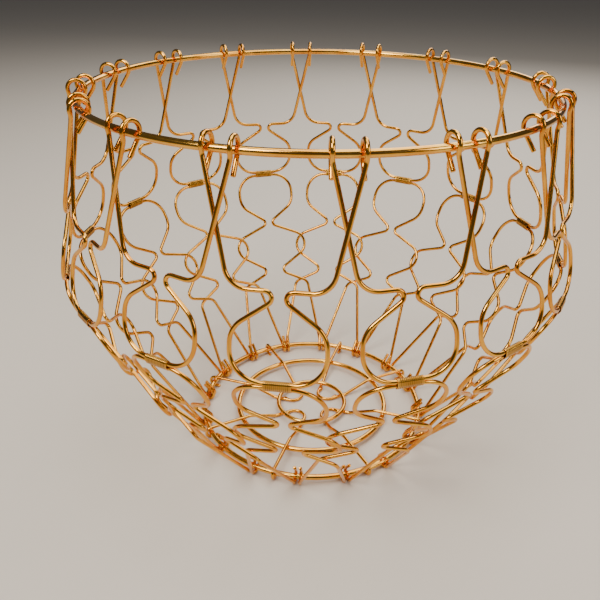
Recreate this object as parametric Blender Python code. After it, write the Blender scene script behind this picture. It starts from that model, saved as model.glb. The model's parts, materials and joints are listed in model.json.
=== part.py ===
"""Wire produce basket that squats: bent wire loops hooked between a rim ring and a base ring.

Sixteen upper loops hang their hooks on the rim ring. Sixteen lower loops hook under the base
ring. Each upper loop is joined to the lower loop below it by an oval ferrule that holds one
straight of each wire, so the wall folds outwards there. Four floor wires cross the base ring,
the mid ring and the inner ring. Every wire is bent round pins in its own plane, so each outline
below is a list of pins: where the pin stands, its radius and which way the wire turns round it.

Frame: metres, +Z up, origin on the standing surface under the middle of the base ring.
Local outline coordinates: across is to the right as seen from outside, along is up the wall.
"""
import math

import bpy
from mathutils import Matrix, Vector

MM = 0.001

# Overall sizes
ELEMENT_COUNT = 16
RIM_RADIUS = 140.0 * MM
RIM_HEIGHT = 242.0 * MM
WAIST_RADIUS = 161.0 * MM
WAIST_HEIGHT = 137.0 * MM
BASE_RADIUS = 82.0 * MM
MID_RADIUS = 56.0 * MM
INNER_RADIUS = 25.5 * MM

# Wire gauges
RIM_WIRE = 4.0 * MM
BASE_WIRE = 4.0 * MM
MID_WIRE = 3.8 * MM
INNER_WIRE = 3.2 * MM
LOOP_WIRE = 2.4 * MM
FLOOR_WIRE = 2.4 * MM

# Clearances
RING_GAP = 0.5 * MM
UPPER_CROSSING_GAP = 1.4 * MM
LOWER_CROSSING_GAP = 1.2 * MM
FERRULE_GAP = 0.15 * MM
RIM_HOOK_PLAY = 0.9 * MM
BASE_HOOK_PLAY = 0.6 * MM
WIRE_PAIR_GAP = 0.2 * MM

# Rim hooks: teardrops that stand above the rim ring and lean back to their own legs
RIM_HOOK_RISE = 1.2 * MM
RIM_HOOK_SHIFT = 1.0 * MM
RIM_HOOK_SPREAD = 5.6
RIM_HOOK_START = -12.0
RIM_HOOK_TAIL = 11.0 * MM
RIM_HOOK_TAIL_LEAN = 37.0
HOOK_LEAD = 2.0 * MM

# Base hooks: the leg passes under the base ring and its tail curls up inside and over it
BASE_HOOK_SPREAD = 2.6
BASE_HOOK_FLAT = 1.6 * MM
BASE_HOOK_WRAP = 40.0
BASE_HOOK_TAIL = 9.0 * MM

# Outlines, on the right half of a loop
BULB_HALF_WIDTH = 23.0 * MM
BULB_CORNER = 15.5 * MM
BULB_SHOULDER = 14.0 * MM
BULB_SHOULDER_HEIGHT = 19.0 * MM
NECK_HEIGHT = 42.0 * MM
NECK_HALF_GAP = 3.3 * MM
NUB_RADIUS = 3.4 * MM
LEG_BEND_RADIUS = 11.0 * MM
LEG_BEND_ACROSS = 25.5 * MM
LOBE_HALF_WIDTH = 29.5 * MM
LOBE_RADIUS = 11.0 * MM
LOBE_DROP = 21.0 * MM
LOWER_NECK_DROP = 43.0 * MM
LOWER_NECK_HALF_GAP = 8.0 * MM
LOWER_NUB_RADIUS = 4.0 * MM
LOWER_BEND_DROP = 17.0 * MM
LOWER_BEND_ACROSS = 28.0 * MM
LOWER_BEND_RADIUS = 7.0 * MM
WALL_BOW = 4.0 * MM

# Ferrules and floor
FERRULE_LENGTH = 13.6 * MM
FERRULE_WALL = 0.3 * MM
STRAIGHT_SPARE = 0.8 * MM
FLOOR_WIRE_COUNT = 4
FLOOR_CURL_RADIUS = 7.5 * MM
FLOOR_HOOK_LEAD = 1.0 * MM
FLOOR_HOOK_TAIL = 4.0 * MM
FLOOR_BEND_RADIUS = 6.0 * MM

# Facets: how coarsely the round shapes are drawn
SAGITTA = 0.8 * MM
LARGEST_STEP = math.radians(50.0)
WIRE_SIDES = 4
RING_SIDES = 6
RIM_SEGMENTS = 48
BASE_SEGMENTS = 40
MID_SEGMENTS = 32
INNER_SEGMENTS = 24

# Finish of the plated wire
GOLD_COLOUR = (0.83, 0.50, 0.13, 1.0)
RING_COLOUR = (0.86, 0.56, 0.18, 1.0)
FERRULE_COLOUR = (0.72, 0.48, 0.16, 1.0)

# Worked out from the sizes above
PITCH = 2.0 * math.pi / ELEMENT_COUNT
LOOP_RADIUS = LOOP_WIRE / 2.0


def facet_reach(radius, sides):
    """Corner radius of a regular polygon that has the same area as a circle of this radius."""
    return radius * math.sqrt(2.0 * math.pi / (sides * math.sin(2.0 * math.pi / sides)))


LOOP_FLAT = facet_reach(LOOP_RADIUS, WIRE_SIDES) * math.cos(math.pi / WIRE_SIDES)
FLOOR_FLAT = facet_reach(FLOOR_WIRE / 2.0, WIRE_SIDES) * math.cos(math.pi / WIRE_SIDES)
PAIR_OFFSET = (LOOP_WIRE + WIRE_PAIR_GAP) / 2.0
UPPER_SHINGLE = (LOOP_WIRE + UPPER_CROSSING_GAP) / 2.0
LOWER_SHINGLE = (LOOP_WIRE + LOWER_CROSSING_GAP) / 2.0
RIM_HOOK_RADIUS = RIM_WIRE / 2.0 + RIM_HOOK_PLAY + RIM_HOOK_SHIFT + LOOP_RADIUS
BASE_HOOK_RADIUS = BASE_WIRE / 2.0 + BASE_HOOK_PLAY + LOOP_RADIUS
BASE_HEIGHT = BASE_HOOK_RADIUS + LOOP_FLAT
FLOOR_HOOK_RADIUS = BASE_HEIGHT - FLOOR_FLAT
RIM_HOOK_ANGLE = PITCH / 2.0 + math.radians(RIM_HOOK_SPREAD) / 2.0
BASE_HOOK_ANGLE = PITCH - math.radians(BASE_HOOK_SPREAD) / 2.0


def turn(vector, angle):
    """Rotate a 2D vector anticlockwise."""
    cosine = math.cos(angle)
    sine = math.sin(angle)
    return (vector[0] * cosine - vector[1] * sine, vector[0] * sine + vector[1] * cosine)


def tangent_point(radius, angle, onward):
    """Point reached from a circle about the origin by going this far along its tangent.

    The tangent leaves the circle at this angle and points the anticlockwise way.
    """
    cosine = math.cos(angle)
    sine = math.sin(angle)
    return (radius * cosine - onward * sine, radius * sine + onward * cosine)


def bend_round(pins):
    """Centre line of a wire pulled tight round pins (x, y, radius), as 2D points.

    A positive radius turns the wire to the left and a negative one to the right. A radius of
    zero is a plain point. Straights are the common tangents of neighbouring pins.
    """
    headings = []
    for (x0, y0, r0), (x1, y1, r1) in zip(pins, pins[1:]):
        length = math.hypot(x1 - x0, y1 - y0)
        lean = math.asin((r1 - r0) / length)
        headings.append(math.atan2(y1 - y0, x1 - x0) - lean)
    points = [(pins[0][0], pins[0][1])]
    for (x, y, radius), arriving, leaving in zip(pins[1:-1], headings, headings[1:]):
        sweep = math.remainder(leaving - arriving, 2.0 * math.pi)
        if radius * sweep < 0.0:
            sweep += math.copysign(2.0 * math.pi, radius)
        step = min(LARGEST_STEP, 2.0 * math.acos(max(0.0, 1.0 - SAGITTA / abs(radius))))
        count = max(1, math.ceil(abs(sweep) / step))
        for index in range(count + 1):
            heading = arriving + sweep * index / count
            points.append((x + radius * math.sin(heading), y - radius * math.cos(heading)))
    points.append((pins[-1][0], pins[-1][1]))
    return points


def tube_mesh(name, path, normals, radius, sides):
    """Closed mesh of a wire: a regular polygon carried along the path.

    One side faces along each point's normal. An open wire gets flat ends.
    """
    reach = facet_reach(radius, sides)
    count = len(path)
    vertices = []
    for index, (point, normal) in enumerate(zip(path, normals)):
        before = path[max(index - 1, 0)]
        after = path[min(index + 1, count - 1)]
        arriving = (point - before).normalized()
        leaving = (after - point).normalized()
        heading = (arriving + leaving).normalized()
        across = (normal - heading * normal.dot(heading)).normalized()
        side = heading.cross(across)
        for corner in range(sides):
            angle = 2.0 * math.pi * (corner + 0.5) / sides
            vertices.append(point + reach * (across * math.cos(angle) + side * math.sin(angle)))
    faces = []
    for index in range(count - 1):
        for corner in range(sides):
            following = (corner + 1) % sides
            a = index * sides + corner
            b = index * sides + following
            faces.append((a, b, b + sides, a + sides))
    faces.append(tuple(reversed(range(sides))))
    faces.append(tuple(range((count - 1) * sides, count * sides)))
    mesh = bpy.data.meshes.new(name)
    mesh.from_pydata(vertices, [], faces)
    mesh.update()
    return mesh


def ring_mesh(name, radius, wire, segments):
    """Closed ring of wire about the Z axis at height zero."""
    reach = facet_reach(wire / 2.0, RING_SIDES)
    vertices = []
    faces = []
    for index in range(segments):
        angle = 2.0 * math.pi * index / segments
        for corner in range(RING_SIDES):
            around = 2.0 * math.pi * (corner + 0.5) / RING_SIDES - math.pi / 2.0
            out = radius + reach * math.cos(around)
            vertices.append((out * math.cos(angle), out * math.sin(angle), reach * math.sin(around)))
            following = (corner + 1) % RING_SIDES
            ahead = (index + 1) % segments
            faces.append((
                index * RING_SIDES + corner,
                ahead * RING_SIDES + corner,
                ahead * RING_SIDES + following,
                index * RING_SIDES + following,
            ))
    mesh = bpy.data.meshes.new(name)
    mesh.from_pydata(vertices, [], faces)
    mesh.update()
    return mesh


def radial(angle, out, height):
    """World point at this angle round the basket, counted from the front (-Y) to the right."""
    return Vector((out * math.sin(angle), -out * math.cos(angle), height))


ACROSS = Vector((1.0, 0.0, 0.0))


def wall_vector(pair):
    """Turn an (outwards, up) pair of the front element into a world vector."""
    return Vector((0.0, -pair[0], pair[1]))


def normalised(pair):
    """Unit vector of a 2D pair."""
    length = math.hypot(pair[0], pair[1])
    return (pair[0] / length, pair[1] / length)


def waist_pivots():
    """The ferrule's long direction and the centres of its two wires, as (outwards, up) pairs."""
    to_rim = normalised((RIM_RADIUS * math.cos(RIM_HOOK_ANGLE) - WAIST_RADIUS, RIM_HEIGHT - WAIST_HEIGHT))
    to_base = normalised((BASE_RADIUS * math.cos(BASE_HOOK_ANGLE) - WAIST_RADIUS, BASE_HEIGHT - WAIST_HEIGHT))
    long_way = normalised((to_rim[0] - to_base[0], to_rim[1] - to_base[1]))
    upper = (WAIST_RADIUS + long_way[0] * PAIR_OFFSET, WAIST_HEIGHT + long_way[1] * PAIR_OFFSET)
    lower = (WAIST_RADIUS - long_way[0] * PAIR_OFFSET, WAIST_HEIGHT - long_way[1] * PAIR_OFFSET)
    return long_way, upper, lower


LONG_WAY, UPPER_PIVOT, LOWER_WIRE = waist_pivots()
FERRULE_OUT = wall_vector((LONG_WAY[1], -LONG_WAY[0]))
BASE_PIVOT = (BASE_RADIUS * math.cos(BASE_HOOK_ANGLE), BASE_HEIGHT)


class WallPlane:
    """Plane of one loop: its foot, its direction up the wall and its outward normal.

    The loop is twisted a little, so that its right side stands out from the plane and passes
    outside its neighbour's left side. The twist grows as the square of the distance across and
    is one shingle at the crossing, reach metres across.
    """

    def __init__(self, foot, head, shingle, reach, bow):
        length = math.hypot(head[0] - foot[0], head[1] - foot[1])
        up = ((head[0] - foot[0]) / length, (head[1] - foot[1]) / length)
        self.length = length
        self.foot = wall_vector(foot)
        self.up = wall_vector(up)
        self.out = wall_vector((up[1], -up[0]))
        self.shingle = shingle
        self.reach = reach
        self.bow = bow

    def point(self, across, along):
        """World point of an outline point, with the wall's bow and the loop's twist added."""
        share = along / self.length
        swell = self.bow * 4.0 * share * (1.0 - share)
        return self.foot + self.up * along + ACROSS * across + self.out * (swell + self.twist(across))

    def twist(self, across):
        """How far the loop stands out from its plane here."""
        return math.copysign(self.shingle * (across / self.reach) ** 2, across)

    def outline_place(self, point):
        """Outline coordinates of the plane's point nearest to a world point."""
        offset = point - self.foot
        return (offset.dot(ACROSS), offset.dot(self.up))


def hook_points(pins, centre, angle):
    """Points and normals of a hook bent in the upright plane that faces out at this angle."""
    out = radial(angle, 1.0, 0.0)
    points = []
    for x, y in bend_round(pins):
        points.append(centre + out * x + Vector((0.0, 0.0, y)))
    return points


def hook_normals(points, angle):
    """Normals in the hook's own plane, which turn with the wire."""
    side = radial(angle + math.pi / 2.0, 1.0, 0.0)
    normals = []
    for index, point in enumerate(points):
        before = points[max(index - 1, 0)]
        after = points[min(index + 1, len(points) - 1)]
        normals.append((after - before).cross(side).normalized())
    return normals


def bulb_pins(level, way):
    """Pins of one side of a bulb, from the straight in the ferrule to the neck's nub.

    The straight is at this level, and way is 1 where the bulb is above it and -1 below.
    """
    straight = FERRULE_LENGTH / 2.0 + STRAIGHT_SPARE
    shoulder_across = BULB_HALF_WIDTH - BULB_SHOULDER
    return [
        (0.0, level, 0.0),
        (straight, level + way * BULB_CORNER, way * BULB_CORNER),
        (shoulder_across, level + way * BULB_SHOULDER_HEIGHT, way * BULB_SHOULDER),
        (NECK_HALF_GAP + NUB_RADIUS, level + way * NECK_HEIGHT, -way * NUB_RADIUS),
    ]


def both_sides(build_side):
    """Join the left side, reversed, to the right side of a loop into one wire."""
    left_points, left_normals = build_side(-1.0)
    right_points, right_normals = build_side(1.0)
    points = left_points[:0:-1] + right_points[1:]
    normals = left_normals[:0:-1] + right_normals[1:]
    return points, normals


def wire_side(plane, pins, side, hook, angle):
    """One side of a loop: its outline in the wall plane, then its hook.

    The straight in the ferrule faces the way the ferrule does.
    """
    outline = bend_round(pins + [(*hook_place(plane, hook[0], side), 0.0)])
    points = [plane.point(side * across, along) for across, along in outline[:-1]]
    seated = [FERRULE_OUT.copy() for point in points[:2]]
    normals = seated + [plane.out.copy() for point in points[2:]]
    return points + hook, normals + hook_normals(hook, angle)


def hook_place(plane, point, side):
    """Outline place of the hook's first point, mirrored to the right side."""
    across, along = plane.outline_place(point)
    return (side * across, along)


def rim_hook(side):
    """Hook of an upper loop, from its outer side over the rim ring to its tail."""
    angle = side * RIM_HOOK_ANGLE
    centre = radial(angle, RIM_RADIUS + side * RIM_HOOK_SHIFT, RIM_HEIGHT + RIM_HOOK_RISE)
    start = tangent_point(RIM_HOOK_RADIUS, math.radians(RIM_HOOK_START), -HOOK_LEAD)
    end = tangent_point(RIM_HOOK_RADIUS, math.pi + math.radians(RIM_HOOK_TAIL_LEAN), RIM_HOOK_TAIL)
    pins = [(*start, 0.0), (0.0, 0.0, RIM_HOOK_RADIUS), (*end, 0.0)]
    return hook_points(pins, centre, angle), angle


def base_hook(side):
    """Hook of a lower loop, from its outer side under the base ring to its tail."""
    angle = side * BASE_HOOK_ANGLE
    centre = radial(angle, BASE_RADIUS, BASE_HEIGHT)
    half = BASE_HOOK_FLAT / 2.0
    start = tangent_point(BASE_HOOK_RADIUS, -BASE_LEAN, HOOK_LEAD)
    end = tangent_point(BASE_HOOK_RADIUS, math.pi - math.radians(BASE_HOOK_WRAP), -BASE_HOOK_TAIL)
    pins = [
        (start[0] + half, start[1], 0.0),
        (half, 0.0, -BASE_HOOK_RADIUS),
        (-half, 0.0, -BASE_HOOK_RADIUS),
        (end[0] - half, end[1], 0.0),
    ]
    return hook_points(pins, centre, angle), angle


def lower_foot():
    """Foot of the lower loops' plane: it passes outside the base pivot by the hook's radius."""
    offset = (LOWER_WIRE[0] - BASE_PIVOT[0], LOWER_WIRE[1] - BASE_PIVOT[1])
    distance = math.hypot(offset[0], offset[1])
    lean = math.asin((BASE_HOOK_RADIUS + BASE_HOOK_FLAT / 2.0) / distance)
    up = turn(normalised(offset), lean)
    length = distance * math.cos(lean)
    foot = (LOWER_WIRE[0] - up[0] * length, LOWER_WIRE[1] - up[1] * length)
    return foot, math.atan2(up[0], up[1])


LOWER_FOOT, BASE_LEAN = lower_foot()
UPPER_HEAD = ((RIM_RADIUS + RIM_HOOK_RADIUS) * math.cos(RIM_HOOK_ANGLE), RIM_HEIGHT)
UPPER_REACH = RIM_RADIUS * math.tan(PITCH / 2.0)
LOWER_REACH = (BASE_RADIUS + WAIST_RADIUS) / 2.0 * math.tan(PITCH / 2.0)
UPPER_PLANE = WallPlane(UPPER_PIVOT, UPPER_HEAD, UPPER_SHINGLE, UPPER_REACH, 0.0)
LOWER_PLANE = WallPlane(LOWER_FOOT, LOWER_WIRE, LOWER_SHINGLE, LOWER_REACH, WALL_BOW)


def upper_side(side):
    """One side of an upper loop, from the ferrule up to the rim."""
    hook, angle = rim_hook(side)
    pins = bulb_pins(0.0, 1.0)
    sweep_level = NECK_HEIGHT + NUB_RADIUS + LEG_BEND_RADIUS
    pins.append((LEG_BEND_ACROSS - LEG_BEND_RADIUS, sweep_level, LEG_BEND_RADIUS))
    return wire_side(UPPER_PLANE, pins, side, hook, angle)


def lower_side(side):
    """One side of a lower loop, from the ferrule down to the base."""
    hook, angle = base_hook(side)
    top = LOWER_PLANE.length
    neck = top - NECK_HEIGHT
    lower_neck = neck - LOWER_NECK_DROP
    pins = bulb_pins(top, -1.0)
    pins.append((LOBE_HALF_WIDTH - LOBE_RADIUS, neck - LOBE_DROP, -LOBE_RADIUS))
    pins.append((LOWER_NECK_HALF_GAP + LOWER_NUB_RADIUS, lower_neck, LOWER_NUB_RADIUS))
    bend_across = LOWER_BEND_ACROSS - LOWER_BEND_RADIUS
    pins.append((bend_across, lower_neck - LOWER_BEND_DROP, -LOWER_BEND_RADIUS))
    return wire_side(LOWER_PLANE, pins, side, hook, angle)


def loop_mesh(name, build_side, pivot):
    """Wire of a front loop, moved so that its hinge line passes through the mesh origin."""
    points, normals = both_sides(build_side)
    mesh = tube_mesh(name, points, normals, LOOP_RADIUS, WIRE_SIDES)
    mesh.transform(Matrix.Translation(-wall_vector(pivot)))
    return mesh


def sleeve_outline(half_wide, half_tall, chamfer):
    """Eight corners of a rectangle with cut corners, anticlockwise."""
    return [
        (half_wide, -half_tall + chamfer), (half_wide, half_tall - chamfer),
        (half_wide - chamfer, half_tall), (-half_wide + chamfer, half_tall),
        (-half_wide, half_tall - chamfer), (-half_wide, -half_tall + chamfer),
        (-half_wide + chamfer, -half_tall), (half_wide - chamfer, -half_tall),
    ]


def ferrule_mesh():
    """Open-ended oval sleeve round the two straights, about the lower wire's centre.

    The corners are cut so that the wall is as thick there as along the sides.
    """
    inner_wide = LOOP_RADIUS + FERRULE_GAP
    inner_tall = inner_wide + PAIR_OFFSET
    inner_cut = FERRULE_GAP * 2.0
    outer_cut = inner_cut + FERRULE_WALL * (2.0 - math.sqrt(2.0))
    inner = sleeve_outline(inner_wide, inner_tall, inner_cut)
    outer = sleeve_outline(inner_wide + FERRULE_WALL, inner_tall + FERRULE_WALL, outer_cut)
    long_way = wall_vector(LONG_WAY)
    middle = wall_vector((WAIST_RADIUS - LOWER_WIRE[0], WAIST_HEIGHT - LOWER_WIRE[1]))
    vertices = []
    for end in (-0.5, 0.5):
        for outline in (outer, inner):
            for wide, tall in outline:
                place = middle + ACROSS * (end * FERRULE_LENGTH)
                vertices.append(place + FERRULE_OUT * wide + long_way * tall)
    count = len(outer)
    faces = []
    for index in range(count):
        ahead = (index + 1) % count
        near_out, near_in, far_out, far_in = (index + count * layer for layer in range(4))
        near_out_b, near_in_b, far_out_b, far_in_b = (ahead + count * layer for layer in range(4))
        faces.append((near_out, far_out, far_out_b, near_out_b))
        faces.append((near_in, near_in_b, far_in_b, far_in))
        faces.append((near_out, near_out_b, near_in_b, near_in))
        faces.append((far_out, far_in, far_in_b, far_out_b))
    mesh = bpy.data.meshes.new("ferrule")
    mesh.from_pydata(vertices, [], faces)
    mesh.update()
    return mesh


def floor_wire_side(side):
    """Half of a floor wire: curl inside, under the inner ring, over the mid and base rings."""
    angle = side * PITCH
    high = BASE_HEIGHT + FLOOR_HOOK_RADIUS
    low = BASE_HEIGHT - INNER_WIRE / 2.0 - RING_GAP - FLOOR_WIRE / 2.0
    curl_centre = FLOOR_CURL_RADIUS / math.sin(PITCH)
    straight_start = FLOOR_CURL_RADIUS / math.tan(PITCH)
    points = []
    normals = []
    sweep = math.pi / 2.0 + PITCH
    count = math.ceil(sweep / LARGEST_STEP)
    for index in range(count):
        share = sweep * index / count
        out = curl_centre - FLOOR_CURL_RADIUS * math.cos(share)
        points.append(Vector((side * FLOOR_CURL_RADIUS * math.sin(share), -out, low)))
        normals.append(Vector((0.0, 0.0, 1.0)))
    sink = INNER_RADIUS + INNER_WIRE / 2.0 + FLOOR_WIRE
    crest = MID_RADIUS - MID_WIRE / 2.0 - FLOOR_WIRE
    profile = bend_round([
        (straight_start, low, 0.0),
        (sink, low + FLOOR_BEND_RADIUS, FLOOR_BEND_RADIUS),
        (crest, high - FLOOR_BEND_RADIUS, -FLOOR_BEND_RADIUS),
        (BASE_RADIUS, BASE_HEIGHT, -FLOOR_HOOK_RADIUS),
        (BASE_RADIUS - FLOOR_HOOK_LEAD, FLOOR_FLAT, 0.0),
    ])
    profile.append((BASE_RADIUS - FLOOR_HOOK_TAIL, FLOOR_FLAT))
    run = [radial(angle, out, height) for out, height in profile]
    return points + run, normals + [-normal * side for normal in hook_normals(run, angle)]


def floor_wire_mesh():
    """One floor wire, about the middle of the basket."""
    left_points, left_normals = floor_wire_side(-1.0)
    right_points, right_normals = floor_wire_side(1.0)
    points = left_points[:0:-1] + right_points
    normals = left_normals[:0:-1] + right_normals
    return tube_mesh("floor_wire", points, normals, FLOOR_WIRE / 2.0, WIRE_SIDES)


def plated_material(name, colour, roughness):
    """Polished plating: a fully metallic Principled surface."""
    material = bpy.data.materials.new(name)
    material.use_nodes = True
    shader = material.node_tree.nodes["Principled BSDF"]
    shader.inputs["Base Color"].default_value = colour
    shader.inputs["Roughness"].default_value = roughness
    shader.inputs["Metallic"].default_value = 1.0
    return material


def place(name, mesh, material, location, angle):
    """Add one named object with its mesh turned about Z by this angle round the basket."""
    thing = bpy.data.objects.new(name, mesh)
    thing.data.materials.clear()
    thing.data.materials.append(material)
    thing.location = location
    thing.rotation_euler = (0.0, 0.0, angle)
    bpy.context.scene.collection.objects.link(thing)
    return thing


def build():
    """Model the whole basket."""
    for thing in list(bpy.data.objects):
        bpy.data.objects.remove(thing)
    wire = plated_material("loop_wire", GOLD_COLOUR, 0.22)
    ring = plated_material("ring_wire", RING_COLOUR, 0.25)
    sleeve = plated_material("ferrule", FERRULE_COLOUR, 0.35)
    base_place = Vector((0.0, 0.0, BASE_HEIGHT))
    place("rim_ring", ring_mesh("rim_ring", RIM_RADIUS, RIM_WIRE, RIM_SEGMENTS), ring,
          Vector((0.0, 0.0, RIM_HEIGHT)), 0.0)
    place("base_ring", ring_mesh("base_ring", BASE_RADIUS, BASE_WIRE, BASE_SEGMENTS), ring, base_place, 0.0)
    place("mid_ring", ring_mesh("mid_ring", MID_RADIUS, MID_WIRE, MID_SEGMENTS), ring, base_place, 0.0)
    place("inner_ring", ring_mesh("inner_ring", INNER_RADIUS, INNER_WIRE, INNER_SEGMENTS), ring,
          base_place, 0.0)
    floor_wire = floor_wire_mesh()
    for index in range(FLOOR_WIRE_COUNT):
        angle = 2.0 * math.pi * index / FLOOR_WIRE_COUNT + 2.5 * PITCH
        place(f"floor_wire_{index + 1}", floor_wire, wire, Vector((0.0, 0.0, 0.0)), angle)
    upper = loop_mesh("upper_loop", upper_side, UPPER_PIVOT)
    lower = loop_mesh("lower_loop", lower_side, BASE_PIVOT)
    ferrule = ferrule_mesh()
    for index in range(ELEMENT_COUNT):
        angle = index * PITCH
        number = f"{index + 1:02d}"
        place(f"upper_loop_{number}", upper, wire, radial(angle, *UPPER_PIVOT), angle)
        place(f"lower_loop_{number}", lower, wire, radial(angle, *BASE_PIVOT), angle)
        place(f"ferrule_{number}", ferrule, sleeve, radial(angle, *LOWER_WIRE), angle)


build()
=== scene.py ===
"""Looks of the wire produce basket: smooth round wire, ribbed ferrules and bright gold plating.

Every wire is drawn again as a round tube along the same bends as its CAD solid, and stands for
that solid. Lengths are metres, +Z is up, and the front is -Y.
"""

import json
import math

import bpy
import numpy as np
from bpy.props import FloatProperty, FloatVectorProperty, IntProperty, PointerProperty
from mathutils import Matrix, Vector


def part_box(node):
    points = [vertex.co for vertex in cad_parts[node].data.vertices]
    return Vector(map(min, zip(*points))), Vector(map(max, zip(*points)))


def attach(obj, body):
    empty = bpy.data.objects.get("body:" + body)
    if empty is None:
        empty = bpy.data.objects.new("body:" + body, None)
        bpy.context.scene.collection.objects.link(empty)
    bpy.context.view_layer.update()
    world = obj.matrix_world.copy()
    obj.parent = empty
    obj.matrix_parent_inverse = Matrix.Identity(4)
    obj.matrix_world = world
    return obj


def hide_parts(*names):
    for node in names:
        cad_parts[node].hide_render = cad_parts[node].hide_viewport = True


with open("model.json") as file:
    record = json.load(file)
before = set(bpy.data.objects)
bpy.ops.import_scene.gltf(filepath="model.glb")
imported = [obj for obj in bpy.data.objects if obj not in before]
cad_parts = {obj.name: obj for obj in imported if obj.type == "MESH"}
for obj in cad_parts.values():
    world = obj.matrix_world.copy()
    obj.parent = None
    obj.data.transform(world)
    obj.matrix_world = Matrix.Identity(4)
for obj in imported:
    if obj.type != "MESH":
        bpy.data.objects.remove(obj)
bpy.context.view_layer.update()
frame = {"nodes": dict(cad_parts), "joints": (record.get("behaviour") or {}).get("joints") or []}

bl_info = {
    "name": "Wire produce basket",
    "version": (1, 0, 0),
    "blender": (4, 5, 0),
    "location": "3D View > Sidebar > Basket",
    "description": "Makes the wires, ferrules and rings of a folding wire basket",
    "category": "Object",
}

MM = 0.001
UP = np.array([0.0, 0.0, 1.0])
ACROSS = np.array([1.0, 0.0, 0.0])

# How finely shapes are drawn
ARC_STEP = math.radians(6.0)
SHARP_ANGLE = math.radians(50.0)
RING_SIDES = 20
RING_SPACING = 1.5 * MM
RIB_STEPS = 8
OVAL_STEPS = 19
EDGE_STEPS = 7
FLANK_STEPS = 7
CURL_STEPS = 24
WAIST_ROUNDS = 20

# Butt weld of a ring
WELD_ANGLE = math.radians(128.0)
WELD_SWELL = 0.05
WELD_REACH = 1.6 * MM

# Broken edge of a cut wire: its length, its middle ring and the two rings' radii, as shares
EDGE_LENGTH = 0.25
EDGE_MIDDLE = 0.3
EDGE_END_RADIUS = 0.8
EDGE_MIDDLE_RADIUS = 0.94

# The first floor wire's place, in elements from the front
FLOOR_WIRE_START = 2.5

# Plating: roughness, how close the drawing marks lie, and how patchy it is
WIRE_ROUGHNESS = 0.15
SLEEVE_ROUGHNESS = 0.2
RING_MARKS_PER_MM = 2.2
LOOP_MARKS_PER_MM = 3.0
SLEEVE_MARKS_PER_MM = 1.5
MARK_STRETCH = 0.08
DRIFT_SIZE = 14.0 * MM
TOUCH_SIZE = 5.0 * MM
MARK_DEPTH = 0.02 * MM

# How far the pattern moves along from one copy of a piece to the next, in millimetres
LOOP_SHIFT = 500.0
SLEEVE_SHIFT = 60.0
FLOOR_WIRE_SHIFT = 300.0

# Studio: name, place, target, size, power and tint of each light
FLOOR_SIZE = 12.0
WORLD_COLOUR = (0.55, 0.57, 0.62, 1.0)
WORLD_STRENGTH = 0.14
LIGHTS = (
    ("key_light", (-0.5, -0.75, 1.15), (0.0, 0.0, 0.12), 0.6, 13.0, (1.0, 0.98, 0.94)),
    ("fill_light", (1.1, -0.5, 0.7), (0.0, 0.0, 0.1), 0.6, 4.0, (1.0, 0.96, 0.9)),
    ("back_light", (0.3, 1.2, 0.95), (0.0, 0.0, 0.15), 0.9, 9.0, (1.0, 1.0, 1.0)),
    ("top_light", (0.2, 0.15, 1.4), (0.0, 0.0, 0.0), 1.2, 14.0, (1.0, 0.99, 0.97)),
)

# Camera: how far it stands round from the front, its place before that, its aim and its lens
CAMERA_SWING = math.radians(5.75)
CAMERA_PLACE = (0.0, -0.40719, 0.3205)
CAMERA_YAW = -0.0233077
CAMERA_PITCH = 0.506028
CAMERA_ROLL = -0.0076637
CAMERA_LENS = 39.19
SENSOR_WIDTH = 36.0
CLIP_START = 0.01


# ---------------------------------------------------------------- frame values

def joint_place(name):
    """Distance from the axis and height of a hinge of the front element."""
    joint = next(joint for joint in frame["joints"] if joint["name"] == name)
    x, y, z = joint["pos_m"]
    return math.hypot(x, y), z


def ring_place(node):
    """Centre-line radius, wire radius and height of a ring, from its six-sided CAD solid.

    The solid's section has a corner outwards, and as much area as the round wire has.
    """
    low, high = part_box(node)
    reach = (high[2] - low[2]) / 2.0 / math.sin(math.pi / 3.0)
    wire = reach * math.sqrt(3.0 * math.sin(math.pi / 3.0) / math.pi)
    return (high[0] - low[0]) / 2.0 - reach, wire, (high[2] + low[2]) / 2.0


ELEMENTS = sum(node.startswith("upper_loop_") for node in frame["nodes"])
PITCH = 2.0 * math.pi / ELEMENTS
RIM_RADIUS, RIM_WIRE, RIM_HEIGHT = ring_place("rim_ring")
BASE_RADIUS, BASE_WIRE, BASE_HEIGHT = ring_place("base_ring")
MID_RADIUS, MID_WIRE, _ = ring_place("mid_ring")
INNER_RADIUS, INNER_WIRE, _ = ring_place("inner_ring")
BASE_PIVOT = joint_place("base_hinge_01")
UPPER_PIVOT = joint_place("waist_hinge_01")


# ---------------------------------------------------------------- settings

def length(name, millimetres, description):
    """A length property whose default is given in millimetres."""
    return FloatProperty(
        name=name, description=description, default=millimetres * MM, min=0.0,
        subtype="DISTANCE", unit="LENGTH", precision=5,
    )


def angle(name, degrees, description):
    """An angle property whose default is given in degrees."""
    return FloatProperty(
        name=name, description=description, default=math.radians(degrees), subtype="ANGLE",
        unit="ROTATION",
    )


def linear(code):
    """Turn an sRGB hex colour into linear red, green and blue."""
    channels = [int(code[place:place + 2], 16) / 255.0 for place in (1, 3, 5)]
    return [c / 12.92 if c <= 0.04045 else ((c + 0.055) / 1.055) ** 2.4 for c in channels]


def colour(name, code, description):
    """A colour property whose default is an sRGB hex value."""
    return FloatVectorProperty(
        name=name, description=description, default=linear(code), subtype="COLOR",
        min=0.0, max=1.0,
    )


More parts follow.
